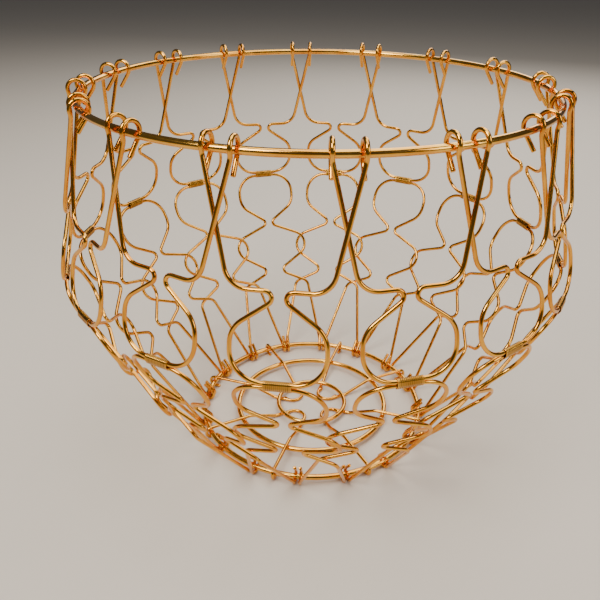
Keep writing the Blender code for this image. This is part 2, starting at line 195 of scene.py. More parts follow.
class BasketWireSettings(bpy.types.PropertyGroup):
    """Gauges and gaps of the loop wire, and how finely it is drawn."""
    wire: length("Loop wire", 2.4, "Diameter of the loops' wire")
    pair_gap: length("Pair gap", 0.2, "Gap between the two wires in a ferrule")
    upper_shingle: length("Upper shingle", 1.9, "An upper loop's stand off its plane")
    lower_shingle: length("Lower shingle", 1.8, "A lower loop's stand off its plane")
    ease: length("Ease", 0.7, "How far each bend eases into its straights")
    spacing: length("Spacing", 0.75, "Distance between the drawn rings of a wire")
    sides: IntProperty(name="Sides", description="Faces round a wire", default=14, min=6)


class BasketHookSettings(bpy.types.PropertyGroup):
    """Hooks at the rim ring, at the base ring and on the floor wires."""
    rim_play: length("Rim play", 0.9, "Clearance between a hook and the rim ring")
    rim_rise: length("Rim rise", 1.2, "How far a rim hook's centre stands above the ring's")
    rim_shift: length("Rim shift", 1.0, "How far right hooks stand out and left hooks stand in")
    rim_spread: angle("Rim spread", 5.6, "Angle between the two hooks of a pair on the rim")
    rim_start: angle("Rim start", -12.0, "Where the leg meets the rim hook's circle")
    rim_tail: length("Rim tail", 11.0, "Straight end of a rim hook")
    rim_lean: angle("Rim lean", 37.0, "Lean of a rim hook's tail back towards its leg")
    lead: length("Lead", 2.0, "Straight before a hook")
    base_play: length("Base play", 0.6, "Clearance between a hook and the base ring")
    base_spread: angle("Base spread", 2.6, "Angle between the two hooks of a pair at the base")
    base_flat: length("Base flat", 1.6, "Flat stretch under the base ring")
    base_wrap: angle("Base wrap", 40.0, "How far a base hook curls over the ring")
    base_tail: length("Base tail", 9.0, "Straight end of a base hook")


class BasketOutlineSettings(bpy.types.PropertyGroup):
    """Outline of the loops, on their right half."""
    bulb_half: length("Bulb half width", 23.0, "Half of a bulb's outer centre-line width")
    bulb_corner: length("Bulb corner", 15.5, "Bend between the ferrule and the bulb's side")
    bulb_shoulder: length("Bulb shoulder", 14.0, "Bend at the bulb's far shoulder")
    shoulder_height: length("Shoulder height", 19.0, "Shoulder bend's centre from the ferrule")
    neck_height: length("Neck height", 42.0, "Neck's distance from the ferrule")
    neck_half: length("Neck half gap", 3.3, "Half of the gap between the nubs")
    nub: length("Nub", 3.4, "Bend of a nub")
    leg_bend: length("Leg bend", 11.0, "Bend between the neck and an upper leg")
    leg_across: length("Leg across", 25.5, "Widest place of an upper leg's bend")
    lobe_half: length("Lobe half width", 29.5, "Half width of the lower lobes")
    lobe: length("Lobe", 11.0, "Bend of a lower lobe")
    lobe_drop: length("Lobe drop", 21.0, "Lobe's distance under the neck")
    lower_neck_drop: length("Lower neck drop", 43.0, "Lower neck's distance under the neck")
    lower_neck_half: length("Lower neck half gap", 8.0, "Half of the gap between the lower nubs")
    lower_nub: length("Lower nub", 4.0, "Bend of a lower nub")
    lower_bend_drop: length("Lower bend drop", 17.0, "Last bend's distance under the lower neck")
    lower_bend_across: length("Lower bend across", 28.0, "Widest place of the last bend")
    lower_bend: length("Lower bend", 7.0, "Last bend before a lower leg")
    bow: length("Bow", 4.0, "How far the lower wall bows outwards")


class BasketFerruleSettings(bpy.types.PropertyGroup):
    """Oval ferrules round the waist."""
    reach: length("Length", 13.6, "Length of a ferrule")
    wall: length("Wall", 0.3, "Thickness of the pressed sleeve")
    gap: length("Gap", 0.15, "Clearance between sleeve and wire")
    spare: length("Spare", 0.8, "Straight wire past each end of the sleeve")
    belly: length("Belly", 0.4, "How far the sleeve stands out between its wires")
    rib_pitch: length("Rib pitch", 0.95, "Distance between the press marks")
    rib_depth: length("Rib depth", 0.13, "Depth of the press marks")


class BasketFloorSettings(bpy.types.PropertyGroup):
    """Floor wires."""
    count: IntProperty(name="Count", description="Number of floor wires", default=4, min=1)
    ring_gap: length("Ring gap", 0.5, "Clearance between a floor wire and the rings it crosses")
    curl: length("Curl", 7.5, "Bend of the curl inside the inner ring")
    bend: length("Bend", 6.0, "Bends where the wire sinks under the inner ring")
    hook_tail: length("Hook tail", 4.0, "Straight end of the hook under the base ring")


class BasketFinishSettings(bpy.types.PropertyGroup):
    """Colours of the plating."""
    loop_gold: colour("Loop gold", "#F3B247", "Plating of the thin wire")
    loop_deep: colour("Loop deep gold", "#DC902D", "Thicker, redder patches of the plating")
    ring_gold: colour("Ring gold", "#F6BD56", "Plating of the rings")
    ring_deep: colour("Ring deep gold", "#E09838", "Thicker, redder patches on the rings")
    # Painted shade: the dark brown laid into the bottoms of the ferrules' press marks
    groove_shade: colour("Painted shade", "#4A2A0C", "Grime held in the press marks")
    ferrule_gold: colour("Ferrule gold", "#F0B24A", "Plating of the pressed sleeves")
    ferrule_deep: colour("Ferrule deep gold", "#C98A34", "Thicker, redder patches on the sleeves")
    floor: colour("Floor", "#DED2C2", "Paper under the basket")


SETTINGS = {
    "basket_wire": BasketWireSettings,
    "basket_hook": BasketHookSettings,
    "basket_outline": BasketOutlineSettings,
    "basket_ferrule": BasketFerruleSettings,
    "basket_floor": BasketFloorSettings,
    "basket_finish": BasketFinishSettings,
}


# ---------------------------------------------------------------- geometry

def radial(turn, out, height):
    """Point at this angle round the basket, counted from the front (-Y) to the right."""
    return np.array([out * math.sin(turn), -out * math.cos(turn), height])


def facing(turn):
    """Outward and sideways directions at this angle round the basket."""
    return radial(turn, 1.0, 0.0), radial(turn + math.pi / 2.0, 1.0, 0.0)


def unit(vectors):
    """Vectors divided by their lengths, along the last axis."""
    return vectors / np.linalg.norm(vectors, axis=-1, keepdims=True)


def tangent_point(radius, turn, onward):
    """Point this far along the tangent that leaves a circle about the origin at this angle."""
    cosine, sine = math.cos(turn), math.sin(turn)
    return radius * cosine - onward * sine, radius * sine + onward * cosine


def bend_round(pins):
    """Centre line of a wire pulled tight round pins (x, y, radius), as an array of 2D points.

    Each straight is the common tangent of two pins: its heading is the line of centres less
    asin((r2 - r1) / distance). Each arc is centre + radius * (sin heading, -cos heading) while the
    heading sweeps from one straight's to the next. A positive radius turns left, a negative one
    right, and a radius of zero is a plain point.
    """
    places = np.array(pins)
    steps = np.diff(places[:, :2], axis=0)
    reach = np.hypot(steps[:, 0], steps[:, 1])
    headings = np.arctan2(steps[:, 1], steps[:, 0]) - np.arcsin(np.diff(places[:, 2]) / reach)
    pieces = [places[:1, :2]]
    for (x, y, radius), arriving, leaving in zip(places[1:-1], headings, headings[1:]):
        sweep = math.remainder(leaving - arriving, 2.0 * math.pi)
        if radius * sweep < 0.0:
            sweep += math.copysign(2.0 * math.pi, radius)
        count = 2 + int(abs(sweep) / ARC_STEP)
        heading = arriving + sweep * np.linspace(0.0, 1.0, count)
        arc = [x + radius * np.sin(heading), y - radius * np.cos(heading)]
        pieces.append(np.stack(arc, axis=1))
    pieces.append(places[-1:, :2])
    return np.concatenate(pieces)


def travelled(path):
    """Distance along a path at each of its points."""
    return np.concatenate([[0.0], np.cumsum(np.linalg.norm(np.diff(path, axis=0), axis=1))])


def at_distances(path, values, distances):
    """Rows of values, which go with the path's points, read at these distances along it."""
    along = travelled(path)
    return np.stack([np.interp(distances, along, column) for column in values.T], axis=1)


def eased(path, ease, spacing):
    """The path with its bends eased into its straights, at even spacing.

    The path is sampled finely, run past both ends along its end directions, and averaged with a
    bell curve whose spread is the ease. The ends stay where they were.
    """
    fine = spacing / 4.0
    total = travelled(path)[-1]
    count = int(total / fine) + 1
    dense = at_distances(path, path, np.linspace(0.0, total, count))
    margin = int(4.0 * ease / fine)
    back = np.arange(margin, 0, -1)[:, None]
    before = dense[0] - (dense[1] - dense[0]) * back
    after = dense[-1] + (dense[-1] - dense[-2]) * back[::-1]
    run = np.concatenate([before, dense, after])
    offsets = np.arange(-margin, margin + 1) * fine
    bell = np.exp(-0.5 * (offsets / ease) ** 2)
    bell /= bell.sum()
    smooth = np.stack([np.convolve(column, bell, mode="valid") for column in run.T], axis=1)
    whole = travelled(smooth)[-1]
    return at_distances(smooth, smooth, np.linspace(0.0, whole, int(whole / spacing) + 1))


def cut_ends(path, radius):
    """Path and radii of a wire whose cut ends have a small rounded edge.

    Two rings are added at each end, and the radius falls from full to four fifths over a
    quarter of the wire's radius.
    """
    break_edge = radius * EDGE_LENGTH
    first = unit(path[1] - path[0])
    last = unit(path[-1] - path[-2])
    head = [path[0], path[0] + first * break_edge * EDGE_MIDDLE, path[0] + first * break_edge]
    tail = [path[-1] - last * break_edge, path[-1] - last * break_edge * EDGE_MIDDLE, path[-1]]
    radii = np.full(len(path) + 4, radius)
    radii[[0, -1]] = radius * EDGE_END_RADIUS
    radii[[1, -2]] = radius * EDGE_MIDDLE_RADIUS
    return np.concatenate([head, path[1:-1], tail]), radii


class Surface:
    """Points, faces and wire coordinates of one piece, before it is turned into place."""

    def __init__(self, grid, closed_along, along, around, grooves=None):
        """Take a grid of points, rows along the piece and columns round it.

        Columns always close. Faces run row to row, and the wire coordinate of each corner is
        (distance along, distance round) in millimetres. Open ends get a flat cap. Grooves say how
        deep in a press mark each row lies, from 0 to 1.
        """
        rows, columns = grid.shape[:2]
        last = rows if closed_along else rows - 1
        row = np.arange(last)[:, None]
        column = np.arange(columns)[None, :]
        ahead = (row + 1) % rows
        beside = (column + 1) % columns
        corners = [row * columns + column, row * columns + beside,
                   ahead * columns + beside, ahead * columns + column]
        self.points = grid.reshape(-1, 3)
        self.grooves = None if grooves is None else np.repeat(grooves, columns)
        self.faces = np.stack(np.broadcast_arrays(*corners), axis=-1).reshape(-1, 4)
        along = np.append(along, 2.0 * along[-1] - along[-2])
        round_share = np.arange(columns + 1) / columns
        ends = [(row, column), (row, column + 1), (row + 1, column + 1), (row + 1, column)]
        coordinates = [
            np.stack(np.broadcast_arrays(along[r] / MM, round_share[c] * around / MM), axis=-1)
            for r, c in ends
        ]
        self.uv = np.stack(coordinates, axis=2).reshape(-1, 2)
        self.caps = []
        if not closed_along:
            self.caps = [list(range(columns))[::-1],
                         list(range((rows - 1) * columns, rows * columns))]

    def mesh(self, name, turn, shift):
        """Mesh of the surface turned about Z, with its wire coordinates moved along by shift."""
        cosine, sine = math.cos(turn), math.sin(turn)
        spin = np.array([[cosine, -sine, 0.0], [sine, cosine, 0.0], [0.0, 0.0, 1.0]])
        mesh = bpy.data.meshes.new(name)
        mesh.from_pydata((self.points @ spin.T).tolist(), [], self.faces.tolist() + self.caps)
        layer = mesh.uv_layers.new(name="wire_mm")
        uv = np.zeros((len(mesh.loops), 2))
        uv[:len(self.uv)] = self.uv
        uv[:, 0] += shift
        layer.data.foreach_set("uv", uv.ravel())
        if self.grooves is not None:
            groove = mesh.attributes.new("groove", "FLOAT", "POINT")
            groove.data.foreach_set("value", self.grooves)
        mesh.shade_smooth()
        mesh.set_sharp_from_angle(angle=SHARP_ANGLE)
        return mesh


def tube(path, reference, radii, sides, closed=False):
    """Surface of a round wire: point + radius * (normal * cos + binormal * sin).

    The normal is the reference direction less its share along the wire, and the binormal is the
    wire's heading crossed with the normal.
    """
    if closed:
        heading = unit(np.roll(path, -1, axis=0) - np.roll(path, 1, axis=0))
    else:
        heading = unit(np.gradient(path, axis=0))
    share = np.sum(reference * heading, axis=1, keepdims=True)
    normal = unit(reference - heading * share)
    binormal = np.cross(heading, normal)
    turn = (2.0 * math.pi * np.arange(sides) / sides)[None, :, None]
    ring = normal[:, None] * np.cos(turn) + binormal[:, None] * np.sin(turn)
    grid = path[:, None] + ring * np.asarray(radii)[:, None, None]
    return Surface(grid, closed, travelled(path), 2.0 * math.pi * float(np.max(radii)))


def wire_surface(points, references, radius, wire):
    """Surface of an open wire with eased bends and cut ends, from its drawn points.

    Its reference directions are read at the same share of the way along as the points.
    """
    path = eased(points, wire.ease, wire.spacing)
    path, radii = cut_ends(path, radius)
    way = travelled(path)
    share = way / way[-1] * travelled(points)[-1]
    reference = at_distances(points, references, share)
    return tube(path, reference, radii, wire.sides)


# ---------------------------------------------------------------- loops

class WallPlane:
    """Plane of one front loop: its foot, its way up the wall and its outward direction.

    A point stands off the plane by bow * 4 * share * (1 - share) of its way up, and by
    shingle * (across / reach) squared, outwards on the right and inwards on the left.
    """

    def __init__(self, foot, head, shingle, reach, bow):
        self.length = math.hypot(head[0] - foot[0], head[1] - foot[1])
        up = ((head[0] - foot[0]) / self.length, (head[1] - foot[1]) / self.length)
        self.foot = radial(0.0, *foot)
        self.up = radial(0.0, *up)
        self.out = radial(0.0, up[1], -up[0])
        self.shingle = shingle
        self.reach = reach
        self.bow = bow

    def points(self, across, along):
        """Points of an outline, as an array."""
        share = along / self.length
        stand = self.bow * 4.0 * share * (1.0 - share)
        stand = stand + np.copysign(self.shingle * (across / self.reach) ** 2, across)
        return (self.foot + np.outer(along, self.up) + np.outer(across, ACROSS)
                + np.outer(stand, self.out))

    def outline_place(self, point, side):
        """Outline coordinates of a point, mirrored to the right side."""
        offset = point - self.foot
        return side * offset[0], float(offset @ self.up)


def pair_offset(wire):
    """How far each wire in a ferrule lies from the ferrule's middle."""
    return (wire.wire + wire.pair_gap) / 2.0


def rim_hook_turn(hook):
    """Angle of an upper loop's hooks on the rim ring, from the loop's middle."""
    return PITCH / 2.0 + hook.rim_spread / 2.0


def rim_hook_radius(wire, hook):
    """Centre-line radius of a hook over the rim ring."""
    return RIM_WIRE + hook.rim_play + hook.rim_shift + wire.wire / 2.0


def waist(wire, hook):
    """The ferrule's long direction and the centre of its lower wire, as (outwards, up) pairs.

    The long direction halves the angle between the directions to the rim and to the base, and the
    two wires lie half a pair's width each way from the ferrule's middle.
    """
    offset = pair_offset(wire)
    rim_out = RIM_RADIUS * math.cos(rim_hook_turn(hook))
    pivot = np.array(UPPER_PIVOT)
    long_way = np.array([0.0, 1.0])
    for _ in range(WAIST_ROUNDS):
        middle = pivot - long_way * offset
        to_rim = unit(np.array([rim_out, RIM_HEIGHT]) - middle)
        to_base = unit(np.array(BASE_PIVOT) - middle)
        long_way = unit(to_rim - to_base)
    return long_way, pivot - long_way * 2.0 * offset


def bulb_pins(level, way, outline, ferrule):
    """Pins of one side of a bulb, from the straight in the ferrule to the neck's nub."""
    straight = ferrule.reach / 2.0 + ferrule.spare
    return [
        (0.0, level, 0.0),
        (straight, level + way * outline.bulb_corner, way * outline.bulb_corner),
        (outline.bulb_half - outline.bulb_shoulder, level + way * outline.shoulder_height,
         way * outline.bulb_shoulder),
        (outline.neck_half + outline.nub, level + way * outline.neck_height, -way * outline.nub),
    ]


def hook_line(pins, centre, turn):
    """Points of a hook bent in the upright plane that faces out at this angle."""
    out, _ = facing(turn)
    flat = bend_round(pins)
    return centre + np.outer(flat[:, 0], out) + np.outer(flat[:, 1], UP)


def rim_hook(side, wire, hook):
    """Hook of an upper loop, from its outer side over the rim ring to its tail, and its angle."""
    turn = side * rim_hook_turn(hook)
    radius = rim_hook_radius(wire, hook)
    centre = radial(turn, RIM_RADIUS + side * hook.rim_shift, RIM_HEIGHT + hook.rim_rise)
    start = tangent_point(radius, hook.rim_start, -hook.lead)
    end = tangent_point(radius, math.pi + hook.rim_lean, hook.rim_tail)
    return hook_line([(*start, 0.0), (0.0, 0.0, radius), (*end, 0.0)], centre, turn), turn


def base_hook_radius(wire, hook):
    """Centre-line radius of a hook under the base ring."""
    return BASE_WIRE + hook.base_play + wire.wire / 2.0


def base_hook(side, lean, wire, hook):
    """Hook of a lower loop, from its outer side under the base ring to its tail, and its angle."""
    turn = side * (PITCH - hook.base_spread / 2.0)
    radius = base_hook_radius(wire, hook)
    half = hook.base_flat / 2.0
    start = tangent_point(radius, -lean, hook.lead)
    end = tangent_point(radius, math.pi - hook.base_wrap, -hook.base_tail)
    pins = [
        (start[0] + half, start[1], 0.0),
        (half, 0.0, -radius),
        (-half, 0.0, -radius),
        (end[0] - half, end[1], 0.0),
    ]
    return hook_line(pins, radial(turn, BASE_RADIUS, BASE_HEIGHT), turn), turn


def lower_foot(lower_wire, wire, hook):
    """Foot of the lower loops' plane, and its lean.

    The plane passes the base hinge at the hook's radius and half its flat stretch.
    """
    offset = np.array(lower_wire) - np.array(BASE_PIVOT)
    distance = float(np.linalg.norm(offset))
    lean = math.asin((base_hook_radius(wire, hook) + hook.base_flat / 2.0) / distance)
    cosine, sine = math.cos(lean), math.sin(lean)
    up = np.array([[cosine, -sine], [sine, cosine]]) @ offset / distance
    foot = np.array(lower_wire) - up * distance * cosine
    return foot, math.atan2(up[0], up[1])


def loop_side(plane, pins, side, hook, turn):
    """Points and reference directions of one side of a loop, from the ferrule to the hook's tail.

    The reference is the wall's outward direction on the outline and the hook's sideways direction
    on the hook, and turns from one to the other along the leg.
    """
    outline = bend_round(pins + [(*plane.outline_place(hook[0], side), 0.0)])[:-1]
    wall = plane.points(side * outline[:, 0], outline[:, 1])
    _, sideways = facing(turn)
    references = np.concatenate([
        np.tile(plane.out, (len(wall), 1)),
        np.tile(sideways * side, (len(hook), 1)),
    ])
    return np.concatenate([wall, hook]), references


def joined(build_side):
    """Both sides of a loop as one run of points and references.

    The left side's references on its hook point the other way, so that they turn the same way.
    """
    left, left_references = build_side(-1.0)
    right, right_references = build_side(1.0)
    return (np.concatenate([left[:0:-1], right[1:]]),
            np.concatenate([left_references[:0:-1], right_references[1:]]))


def upper_surface(scene):
    """Surface of the front upper loop."""
    wire, hook = scene.basket_wire, scene.basket_hook
    outline, ferrule = scene.basket_outline, scene.basket_ferrule
    outer = RIM_RADIUS + rim_hook_radius(wire, hook)
    head = (outer * math.cos(rim_hook_turn(hook)), RIM_HEIGHT)
    reach = RIM_RADIUS * math.tan(PITCH / 2.0)
    plane = WallPlane(UPPER_PIVOT, head, wire.upper_shingle, reach, 0.0)
    pins = bulb_pins(0.0, 1.0, outline, ferrule)
    sweep_level = outline.neck_height + outline.nub + outline.leg_bend
    pins.append((outline.leg_across - outline.leg_bend, sweep_level, outline.leg_bend))

    def build_side(side):
        points, turn = rim_hook(side, wire, hook)
        return loop_side(plane, pins, side, points, turn)

    points, references = joined(build_side)
    return wire_surface(points, references, wire.wire / 2.0, wire)


def lower_surface(scene):
    """Surface of the front lower loop."""
    wire, hook = scene.basket_wire, scene.basket_hook
    outline, ferrule = scene.basket_outline, scene.basket_ferrule
    _, lower_wire = waist(wire, hook)
    foot, lean = lower_foot(lower_wire, wire, hook)
    middle = (UPPER_PIVOT[0] + lower_wire[0]) / 2.0
    reach = (BASE_RADIUS + middle) / 2.0 * math.tan(PITCH / 2.0)
    plane = WallPlane(foot, lower_wire, wire.lower_shingle, reach, outline.bow)
    neck = plane.length - outline.neck_height
    lower_neck = neck - outline.lower_neck_drop
    pins = bulb_pins(plane.length, -1.0, outline, ferrule)
    pins.append((outline.lobe_half - outline.lobe, neck - outline.lobe_drop, -outline.lobe))
    pins.append((outline.lower_neck_half + outline.lower_nub, lower_neck, outline.lower_nub))
    pins.append((outline.lower_bend_across - outline.lower_bend,
                 lower_neck - outline.lower_bend_drop, -outline.lower_bend))

    def build_side(side):
        points, turn = base_hook(side, lean, wire, hook)
        return loop_side(plane, pins, side, points, turn)

    points, references = joined(build_side)
    return wire_surface(points, references, wire.wire / 2.0, wire)


def ferrule_surface(scene):
    """Surface of the front ferrule: a wall's section carried round an oval.

    The oval is two half circles round the wires with flanks between them, which stand out by
    belly * cos squared of the way from the middle. The wall's section runs along the
    outside with its press marks, round one end, back along the inside and round the other end.
    The outside is lowered by rib depth * (1 - cos(2 pi x / pitch)) / 2 between its plain ends.
    """
    wire, ferrule = scene.basket_wire, scene.basket_ferrule
    long_way, lower_wire = waist(wire, scene.basket_hook)
    long_axis = radial(0.0, *long_way)
    out_axis = radial(0.0, long_way[1], -long_way[0])
    middle = radial(0.0, *((np.array(UPPER_PIVOT) + lower_wire) / 2.0))
    half_pair = pair_offset(wire)
    inner = wire.wire / 2.0 + ferrule.gap
    half = ferrule.reach / 2.0
    edge = ferrule.wall / 2.0
    steps = int(ferrule.reach / ferrule.rib_pitch) * RIB_STEPS
    run = np.linspace(-half + edge, half - edge, steps + 1)
    window = np.clip((half - edge - np.abs(run)) / ferrule.rib_pitch, 0.0, 1.0)
    rib = 1.0 - np.cos(2.0 * math.pi * run / ferrule.rib_pitch)
    marks = ferrule.rib_depth * window * rib / 2.0
    bend = np.linspace(math.pi / 2.0, -math.pi / 2.0, EDGE_STEPS)[1:-1]
    across = np.concatenate([run, half - edge + edge * np.cos(bend), [half - edge, -half + edge],
                             -half + edge - edge * np.cos(bend[::-1])])
    stand = np.concatenate([edge * 2.0 - marks, edge + edge * np.sin(bend), [0.0, 0.0],
                            edge + edge * np.sin(bend[::-1])])
    sweep = np.linspace(0.0, math.pi, OVAL_STEPS)
    flank = np.linspace(1.0, -1.0, FLANK_STEPS)[1:-1]
    flat = np.ones(len(flank))
    top = np.ones(len(sweep))
    sides = np.concatenate([np.cos(sweep), -flat, np.cos(sweep + math.pi), flat])
    rises = np.concatenate([np.sin(sweep), 0.0 * flat, np.sin(sweep + math.pi), 0.0 * flat])
    levels = np.concatenate([top, flank, -top, -flank]) * half_pair
    swell = ferrule.belly * np.cos(levels / half_pair * math.pi / 2.0) ** 2
    reach = inner + stand[:, None]
    wide = sides[None, :] * (reach + swell[None, :])
    tall = levels[None, :] + rises[None, :] * reach
    grid = (middle + across[:, None, None] * ACROSS + wide[..., None] * out_axis
            + tall[..., None] * long_axis)
    section = np.stack([across, stand], axis=1)
    around = 2.0 * math.pi * inner + 4.0 * half_pair
    # Depth in the press marks for each row, which the sleeve's plating uses to lay painted shade
    # into the marks
    grooves = np.zeros(len(section))
    grooves[:len(run)] = marks / ferrule.rib_depth
    return Surface(grid, True, travelled(section), around, grooves)


def floor_surface(scene):
    """Surface of the first floor wire, about the basket's middle.

    Each half curls inside the inner ring, dips under it, climbs over the mid ring and hooks over
    and under the base ring.
    """
    wire, hook, floor = scene.basket_wire, scene.basket_hook, scene.basket_floor
    radius = base_hook_radius(wire, hook)
    high = BASE_HEIGHT + radius
    low = BASE_HEIGHT - INNER_WIRE - floor.ring_gap - wire.wire / 2.0
    under = BASE_HEIGHT - radius
    profile = bend_round([
        (floor.curl / math.tan(PITCH), low, 0.0),
        (INNER_RADIUS + INNER_WIRE + wire.wire, low + floor.bend, floor.bend),
        (MID_RADIUS - MID_WIRE - wire.wire, high - floor.bend, -floor.bend),
        (BASE_RADIUS, BASE_HEIGHT, -radius),
        (BASE_RADIUS - floor.hook_tail, under, 0.0),
    ])
    sweep = np.linspace(0.0, math.pi / 2.0 + PITCH, CURL_STEPS)[:-1]
    curl_out = floor.curl / math.sin(PITCH) - floor.curl * np.cos(sweep)

    def build_side(side):
        out, sideways = facing(side * PITCH)
        level = np.full(len(sweep), low)
        curl = np.stack([side * floor.curl * np.sin(sweep), -curl_out, level], axis=1)
        run = np.outer(profile[:, 0], out) + np.outer(profile[:, 1], UP)
        references = np.concatenate([
            np.tile(UP, (len(curl), 1)),
            np.tile(sideways, (len(run), 1)),
        ])
        return np.concatenate([curl, run]), references

    points, references = joined(build_side)
    return wire_surface(points, references, wire.wire / 2.0, wire)


def ring_surface(radius, wire_radius, height, sides):
    """Surface of a ring: a circle of wire about Z, swollen where its ends are butt-welded.

    The wire's radius grows by the weld's swell, which fades as exp(-(distance / reach) squared)
    of the distance from the weld.
    """
    count = int(2.0 * math.pi * radius / RING_SPACING)
    turn = 2.0 * math.pi * np.arange(count) / count
    path = np.stack([radius * np.cos(turn), radius * np.sin(turn), np.full(count, height)], axis=1)
    from_weld = radius * (turn - WELD_ANGLE)
    radii = wire_radius * (1.0 + WELD_SWELL * np.exp(-(from_weld / WELD_REACH) ** 2))
    return tube(path, np.tile(UP, (count, 1)), radii, sides, closed=True)


# ---------------------------------------------------------------- materials

def add_node(tree, kind, values=None, links=None, **settings):
    """Add a node: settings are its properties, values its inputs, links its incoming sockets."""
    node = tree.nodes.new(kind)
    for name, value in settings.items():
        setattr(node, name, value)
    for name, value in (values or {}).items():
        node.inputs[name].default_value = value
    for name, socket in (links or {}).items():
        tree.links.new(socket, node.inputs[name])
    return node


def plated_metal(name, bright, deep, roughness, marks_per_mm, groove_shade=None):
    """Bright gold-coloured plating over drawn steel wire.

    Drawing leaves fine scratches along the wire, plating thickness drifts over a centimetre or
    so, and handling leaves duller patches. The eye sees long thin streaks in the highlights and
    a slow drift between yellow and orange gold. A pressed sleeve also gets painted shade: its
    colour runs into a dark brown towards the bottoms of its press marks.
    """
    material = bpy.data.materials.new(name)
    material.use_nodes = True
    tree = material.node_tree
    tree.nodes.clear()
    place = add_node(tree, "ShaderNodeTexCoord")
    wire = add_node(tree, "ShaderNodeUVMap", uv_map="wire_mm")
    drift = add_node(tree, "ShaderNodeTexNoise", {"Scale": 1.0 / DRIFT_SIZE, "Detail": 2.0},
                     {"Vector": place.outputs["Object"]})
    share = add_node(tree, "ShaderNodeMapRange", {"From Min": 0.35, "From Max": 0.7},
                     {"Value": drift.outputs["Fac"]})
    tint = add_node(tree, "ShaderNodeMix", {"A": (*bright, 1.0), "B": (*deep, 1.0)},
                    {"Factor": share.outputs["Result"]}, data_type="RGBA")
    # Painted shade: towards the bottom of each press mark the colour is mixed into a dark brown,
    # by the groove depth
    if groove_shade:
        depth = add_node(tree, "ShaderNodeAttribute", attribute_name="groove")
        tint = add_node(tree, "ShaderNodeMix", {"B": (*groove_shade, 1.0)},
                        {"Factor": depth.outputs["Fac"], "A": tint.outputs["Result"]},
                        data_type="RGBA")
    # Drawing scratches are far finer than a render shows, so they are drawn wider than they are.
    stretch = add_node(tree, "ShaderNodeMapping", {"Scale": (MARK_STRETCH, marks_per_mm, 1.0)},
                       {"Vector": wire.outputs["UV"]})
    streak = add_node(tree, "ShaderNodeTexNoise", {"Scale": 1.0, "Detail": 3.0},
                      {"Vector": stretch.outputs["Vector"]})
    touch = add_node(tree, "ShaderNodeTexNoise", {"Scale": 1.0 / TOUCH_SIZE, "Detail": 3.0},
                     {"Vector": place.outputs["Object"]})
    blend = add_node(tree, "ShaderNodeMath", {},
                     {0: streak.outputs["Fac"], 1: touch.outputs["Fac"]}, operation="MULTIPLY")
    gloss = add_node(tree, "ShaderNodeMapRange",
                     {"From Min": 0.1, "From Max": 0.45,
                      "To Min": roughness * 0.7, "To Max": roughness * 1.5},
                     {"Value": blend.outputs["Value"]})
    bump = add_node(tree, "ShaderNodeBump", {"Strength": 0.25, "Distance": MARK_DEPTH},
                    {"Height": streak.outputs["Fac"]})
    shader = add_node(tree, "ShaderNodeBsdfPrincipled", {"Metallic": 1.0},
                      {"Base Color": tint.outputs["Result"], "Roughness": gloss.outputs["Result"],
                       "Normal": bump.outputs["Normal"]})
    add_node(tree, "ShaderNodeOutputMaterial", {}, {"Surface": shader.outputs["BSDF"]})
    return material


def paper(name, tint):
    """Matt studio paper: one even pale tone with no gloss."""
    material = bpy.data.materials.new(name)
    material.use_nodes = True
    tree = material.node_tree
    shader = tree.nodes["Principled BSDF"]
    shader.inputs["Base Color"].default_value = (*tint, 1.0)
    shader.inputs["Roughness"].default_value = 0.9
    return material


# ---------------------------------------------------------------- placing

def add_piece(name, surface, material, body, node, turn=0.0, shift=0.0):
    """Add one finished piece that rides on a body and stands for a CAD node."""
    mesh = surface.mesh(name, turn, shift)
    mesh.materials.append(material)
    piece = bpy.data.objects.new(name, mesh)
    bpy.context.scene.collection.objects.link(piece)
    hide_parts(node)
    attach(piece, body)
    return piece


def aim_camera(place, yaw, pitch, roll, lens):
    """Camera at a place, turned by yaw about Z, pitched down and rolled clockwise."""
    camera = bpy.data.objects.new("camera", bpy.data.cameras.new("camera"))
    bpy.context.scene.collection.objects.link(camera)
    turned = (Matrix.Rotation(-yaw, 4, "Z") @ Matrix.Rotation(math.pi / 2.0 - pitch, 4, "X")
              @ Matrix.Rotation(-roll, 4, "Z"))
    camera.matrix_world = Matrix.Translation(place) @ turned
    camera.data.lens = lens
    camera.data.sensor_width = SENSOR_WIDTH
    camera.data.clip_start = CLIP_START
    bpy.context.scene.camera = camera


def soft_box(name, place, target, size, power, tint):
    """Square area light at a place, turned to face a target."""
    light = bpy.data.lights.new(name, "AREA")
    light.size = size
    light.energy = power
    light.color = tint
    lamp = bpy.data.objects.new(name, light)
    bpy.context.scene.collection.objects.link(lamp)
    way = unit(np.array(target) - np.array(place))
    side = unit(np.cross(way, UP))
    top = np.cross(side, way)
    turned = Matrix.Identity(4)
    for row in range(3):
        turned[row][0] = side[row]
        turned[row][1] = top[row]
        turned[row][2] = -way[row]
        turned[row][3] = place[row]
    lamp.matrix_world = turned


# ---------------------------------------------------------------- operators

class BASKET_OT_rings(bpy.types.Operator):
    """Make the rim ring and the three rings of the floor"""
    bl_idname = "basket.rings"
    bl_label = "Rings"

    def execute(self, context):
        finish = context.scene.basket_finish
        plating = plated_metal("bright_plated_ring_wire", finish.ring_gold, finish.ring_deep,
                               WIRE_ROUGHNESS, RING_MARKS_PER_MM)
        rings = {
            "rim_ring": (RIM_RADIUS, RIM_WIRE, RIM_HEIGHT, "rim"),
            "base_ring": (BASE_RADIUS, BASE_WIRE, BASE_HEIGHT, "base"),
            "mid_ring": (MID_RADIUS, MID_WIRE, BASE_HEIGHT, "base"),
            "inner_ring": (INNER_RADIUS, INNER_WIRE, BASE_HEIGHT, "base"),
        }
        for node, (radius, wire_radius, height, body) in rings.items():
            surface = ring_surface(radius, wire_radius, height, RING_SIDES)
            add_piece(f"{node}_wire", surface, plating, body, node)
        return {"FINISHED"}


